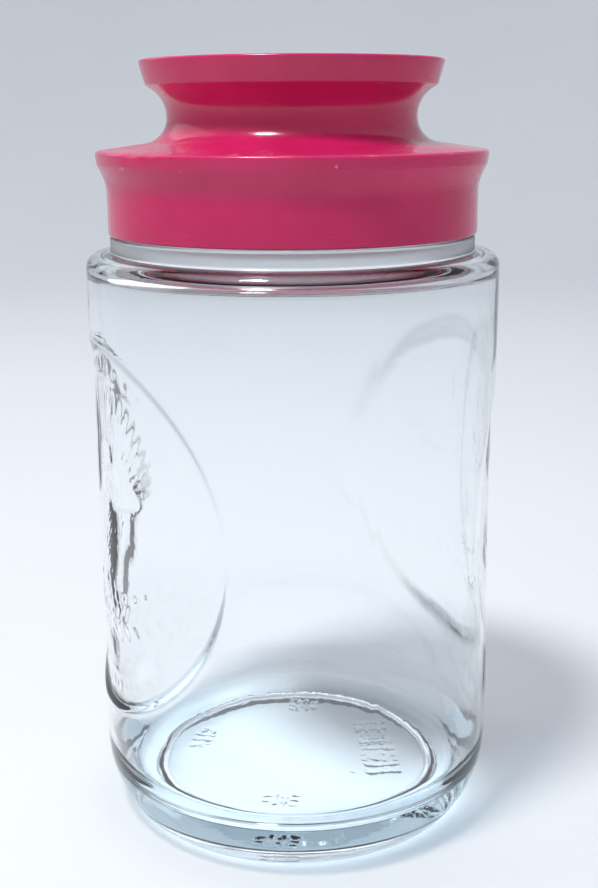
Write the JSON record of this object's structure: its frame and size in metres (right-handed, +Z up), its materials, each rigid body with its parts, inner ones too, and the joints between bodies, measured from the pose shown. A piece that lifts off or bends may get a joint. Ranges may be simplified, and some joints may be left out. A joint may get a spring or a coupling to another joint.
{
  "type": "coin bank jar",
  "caption": "Clear glass jar bank with two recessed round medallions on its wall and a red waisted plastic lid with a coin slot, sealed by a soft sleeve.",
  "frame": {"origin": "on the table under the middle of the jar, at the centre of the ring it stands on", "axes": "+Z up along the jar's axis; the two medallions face -Y and +Y; the coin slot runs along X"},
  "size_m": [0.142, 0.142, 0.2654],
  "materials": {
    "clear_glass": "clear moulded glass, fire-polished, with soft waves and pressed relief",
    "red_plastic": "glossy moulded styrene with fine scuffs",
    "natural_polyethylene": "translucent natural polyethylene"
  },
  "bodies": {
    "jar": {"jar_glass": "clear_glass"},
    "seal": {"seal_sleeve": "natural_polyethylene"},
    "lid": {"lid_shell": "red_plastic", "knob_cap": "red_plastic"}
  },
  "joints": [
    {"name": "lid_lift", "type": "slide", "parent": "jar", "child": "seal", "axis": [0, 0, 1], "range_m": [0, 0.08]},
    {"name": "lid_turn", "type": "hinge", "parent": "seal", "child": "lid", "pos_m": [0, 0, 0.2346], "axis": [0, 0, 1], "continuous": true}
  ]
}
